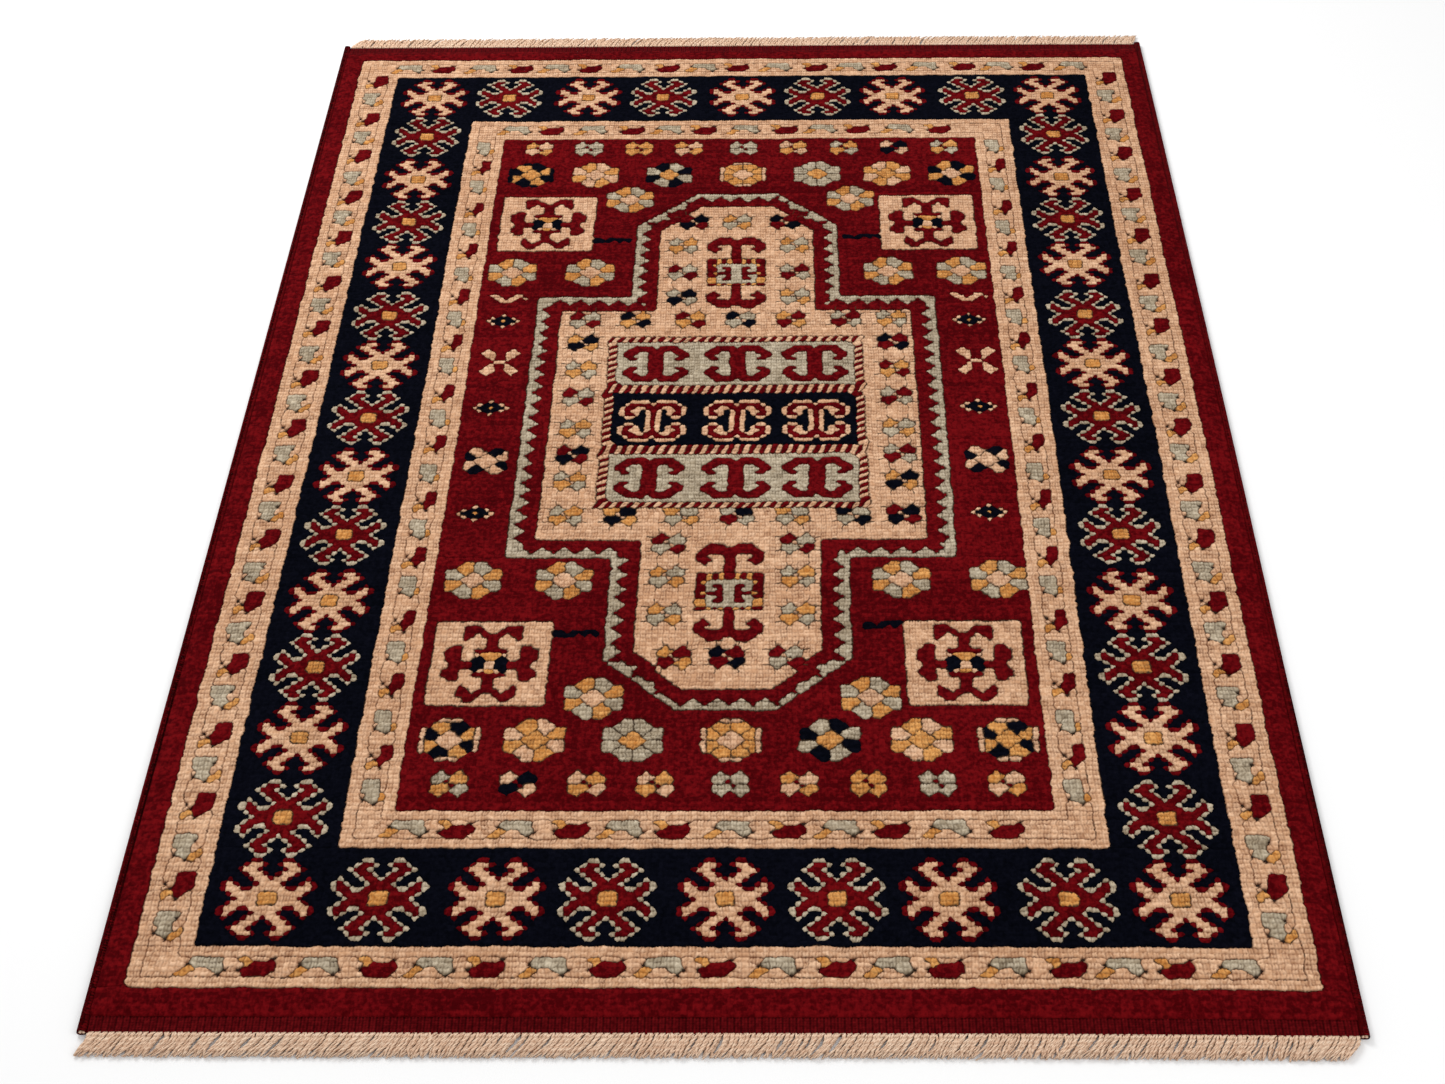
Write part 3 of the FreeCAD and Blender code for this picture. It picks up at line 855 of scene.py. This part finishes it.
# ---------------------------------------------------------------- the selvedges
def overcast_edge(node, turns=580, around=10, steps=4):
    """A rounded edge wrapped with wool, one turn beside the next, each turn a little slanted."""
    low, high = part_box(node)
    rings = turns * steps // 2
    piece, where = new_grid(node + "_turns", around, rings)
    angle = 2 * math.pi * where[:, 0] / around
    turn = where[:, 1] / (steps / 2) + where[:, 0] / around
    y = low[1] + where[:, 1] * (high[1] - low[1]) / rings
    off_seam = (where[:, 0] > 0) & (where[:, 0] < around)
    swell = 0.93 + 0.07 * np.abs(np.sin(math.pi * turn)) + chance.normal(0, 0.008, len(y)) * off_seam
    half_wide = (high[0] - low[0]) / 2 * 1.04
    half_tall = (high[2] - low[2]) / 2 * 1.05
    side, up = np.cos(angle), np.sin(angle)
    x = (low[0] + high[0]) / 2 + half_wide * swell * np.sign(side) * np.abs(side) ** 0.75
    z = (low[2] + high[2]) / 2 + half_tall * swell * np.sign(up) * np.abs(up) ** 0.75
    x, y = wander(x, y)
    set_points(piece, x, y, z)
    set_values(piece, "tone", "POINT", chance.normal(0, 1, len(x)))
    set_values(piece, "shade", "POINT", np.clip((1.0 - swell) * 12, 0, 1))
    close_tube(piece)
    return finish_piece(piece, [OVERCAST], "madder_overcast", node)


overcast_edge("selvedge_wrap_left")
overcast_edge("selvedge_wrap_right")


def edge_cords(node, around=8, rings=240):
    """The two plied cords inside an overcast edge."""
    low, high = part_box(node)
    radius = (high[2] - low[2]) / 2
    both = []
    for middle in (low[0] + radius, high[0] - radius):
        piece, where = new_grid(node + "_ply", around, rings)
        angle = 2 * math.pi * where[:, 0] / around
        size = radius * (0.93 + 0.07 * np.cos(2 * angle + where[:, 1] * 0.9))
        y = low[1] + where[:, 1] * (high[1] - low[1]) / rings
        x, y = wander(middle + size * np.cos(angle), y)
        set_points(piece, x, y, (low[2] + high[2]) / 2 + size * np.sin(angle))
        set_values(piece, "tone", "POINT", chance.normal(0, 1, len(x)))
        close_tube(piece)
        both.append(piece)
    bpy.ops.object.select_all(action="DESELECT")
    for piece in both:
        piece.select_set(True)
    bpy.context.view_layer.objects.active = both[0]
    bpy.ops.object.join()
    return finish_piece(both[0], [WARP_YARN], "warp_yarn", node)


edge_cords("selvedge_cords_left")
edge_cords("selvedge_cords_right")


# ---------------------------------------------------------------- the fringe
def warp_fringe(node, outward):
    """The warp ends, two plied strands to a knot, combed to one side and lying on the floor."""
    low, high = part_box(node)
    root, tip = (high[1], low[1]) if outward < 0 else (low[1], high[1])
    long = abs(tip - root)
    sides, rings, strands = 5, 9, KNOTS * 4
    points, faces, ply_light_and_tone, ply_shade = [], [], [], []
    lean_wave = chance.normal(0, 1, 40)
    for n in range(strands):
        start = low[0] + (n + 0.5) * (high[0] - low[0]) / strands
        drift = np.interp(n / strands * 39, np.arange(40), lean_wave)
        room = (start - low[0] if outward < 0 else high[0] - start) + 0.006
        lean = outward * min(0.014 + 0.0030 * drift + chance.normal(0, 0.0014), room)
        reach = long * (0.98 + chance.normal(0, 0.022))
        curl = chance.normal(0, 0.0024) + 0.0014 * lean_wave[n % 37]
        phase = chance.uniform(0, 6.28)
        thick = 0.00182 + chance.normal(0, 0.00012)
        first = len(points)
        lift = 0.0008 * (n % 4) + abs(chance.normal(0, 0.0002))
        for ring in range(rings):
            t = ring / (rings - 1)
            x = start + lean * t**1.25 + curl * math.sin(3.4 * t)
            y = root + outward * (reach * t - 0.0012)
            fat = thick * (0.75 if ring == 0 else 1.0 if t < 0.8 else 1.0 - 0.55 * (t - 0.8) / 0.2)
            z = low[2] + fat * 0.9 + 0.0012 * (1 - t) + lift * (0.35 + 0.65 * t)
            for side in range(sides):
                a = 2 * math.pi * side / sides + 5.0 * t + phase
                ply = 1.0 + 0.24 * math.cos(2 * (a - 15.0 * t))
                points.append((x + fat * ply * math.cos(a), y, z + 0.8 * fat * ply * math.sin(a)))
                # Painted light and shade: each ply's crest is lightened, and the valleys between the plies
                # and the strand's underside are darkened; the drift adds a random change of tone.
                ply_light_and_tone.append(2.0 * math.cos(2 * (a - 15.0 * t)) + drift * 0.5)
                ply_shade.append(0.55 - 0.45 * math.cos(2 * (a - 15.0 * t)) - 0.3 * math.sin(a))
        for ring in range(rings - 1):
            for side in range(sides):
                a, b = first + ring * sides + side, first + ring * sides + (side + 1) % sides
                faces.append((a, b, b + sides, a + sides))
        faces.append(tuple(first + side for side in reversed(range(sides))))
        faces.append(tuple(first + (rings - 1) * sides + side for side in range(sides)))
    points = np.array(points)
    points[:, 0] = np.clip(points[:, 0], low[0] - 0.008, high[0] + 0.008)
    points[:, 0], points[:, 1] = wander(points[:, 0], points[:, 1])
    points[:, 2] = np.maximum(points[:, 2], low[2])
    mesh = bpy.data.meshes.new(node + "_strands")
    mesh.from_pydata(points.tolist(), [], faces)
    piece = bpy.data.objects.new(node + "_strands", mesh)
    bpy.context.collection.objects.link(piece)
    set_values(piece, "tone", "POINT", np.array(ply_light_and_tone))
    set_values(piece, "shade", "POINT", np.clip(np.array(ply_shade), 0, 1))
    bpy.ops.object.select_all(action="DESELECT")
    bpy.context.view_layer.objects.active = piece
    piece.select_set(True)
    edit("FACE")
    bpy.ops.mesh.select_all(action="SELECT")
    bpy.ops.mesh.normals_make_consistent(inside=False)
    done()
    return finish_piece(piece, [WARP_YARN], "warp_yarn", node)


warp_fringe("warp_fringe_near", -1)
warp_fringe("warp_fringe_far", 1)

# ---------------------------------------------------------------- floor, light and camera
bpy.ops.object.select_all(action="DESELECT")
bpy.ops.mesh.primitive_plane_add(size=14)
floor = bpy.context.object
floor.name = "floor"
floor.location.z = cad_box[0][2] - 0.0003
paint = bpy.data.materials.new("pale_floor")
paint.use_nodes = True
paint.node_tree.nodes["Principled BSDF"].inputs["Base Color"].default_value = (0.88, 0.88, 0.88, 1)
paint.node_tree.nodes["Principled BSDF"].inputs["Roughness"].default_value = 0.9
floor.data.materials.append(paint)

world = bpy.data.worlds.new("studio")
bpy.context.scene.world = world
world.use_nodes = True
world.node_tree.nodes["Background"].inputs["Color"].default_value = (1, 1, 1, 1)
world.node_tree.nodes["Background"].inputs["Strength"].default_value = 0.72


def soft_light(name, place, aim, size, power):
    data = bpy.data.lights.new(name, "AREA")
    data.shape, data.size, data.energy = "DISK", size, power
    lamp = bpy.data.objects.new(name, data)
    bpy.context.collection.objects.link(lamp)
    lamp.location = place
    lamp.rotation_euler = (Vector(aim) - Vector(place)).to_track_quat("-Z", "Y").to_euler()


soft_light("key_light", (-1.5, 1.6, 2.4), (0, 0, 0), 1.6, 60)
soft_light("fill_light", (2.0, -1.6, 2.2), (0, 0, 0), 2.2, 22)

camera_data = bpy.data.cameras.new("camera")
camera = bpy.data.objects.new("camera", camera_data)
bpy.context.collection.objects.link(camera)
bpy.context.scene.camera = camera
camera_data.sensor_width, camera_data.lens = 36.0, 53.95
camera.location = (0.0443, -2.0452, 1.7511)
camera.matrix_world = (
    Matrix.Translation(camera.location)
    @ Matrix.Rotation(math.radians(1.683), 4, "Z")
    @ Matrix.Rotation(math.radians(90 - 43.673), 4, "X")
    @ Matrix.Rotation(math.radians(-1.107), 4, "Z")
)
bpy.context.scene.view_settings.view_transform = "Standard"
